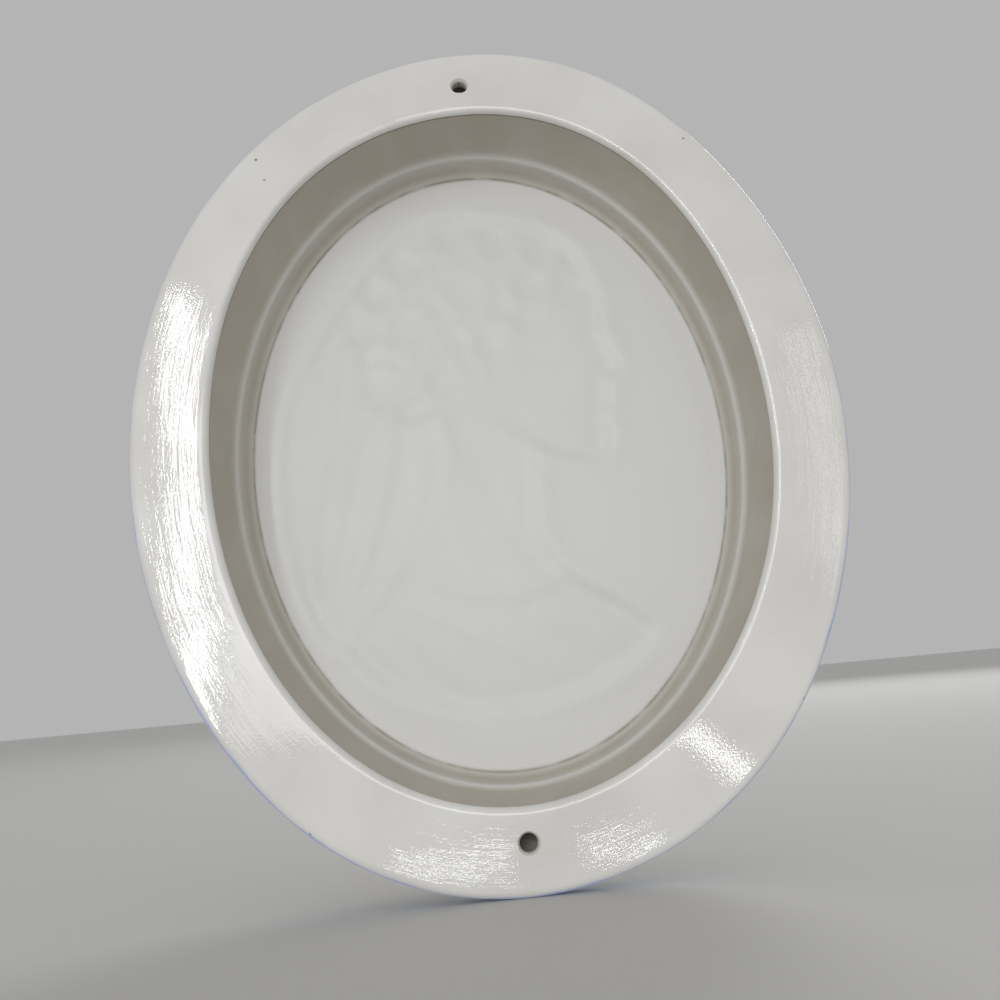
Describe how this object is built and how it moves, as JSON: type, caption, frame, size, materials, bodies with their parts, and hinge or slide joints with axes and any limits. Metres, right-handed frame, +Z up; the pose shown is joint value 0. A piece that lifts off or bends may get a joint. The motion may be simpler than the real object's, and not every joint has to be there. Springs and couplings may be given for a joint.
{
  "type": "decorative wall plaque",
  "caption": "Oval glazed ceramic wall plaque with a hollow flat back rim, a deep stepped well, nail holes, and a moulded front with a veiled head in relief.",
  "frame": {"origin": "on the flat back rim, on the upright axis, between the top edge and the top nail hole, where the plaque bears on the wall", "axes": "+Z up as hung, +Y out of the flat back towards the wall, the relief faces -Y, +X to the right of a viewer of the front"},
  "size_m": [0.2838, 0.0505, 0.3495],
  "materials": {
    "glazed_earthenware": "white slip-cast earthenware under a clear brushed gloss glaze, satin in the well, pale blue on the front ground"
  },
  "bodies": {
    "root": {"plaque": "glazed_earthenware"}
  },
  "joints": []
}
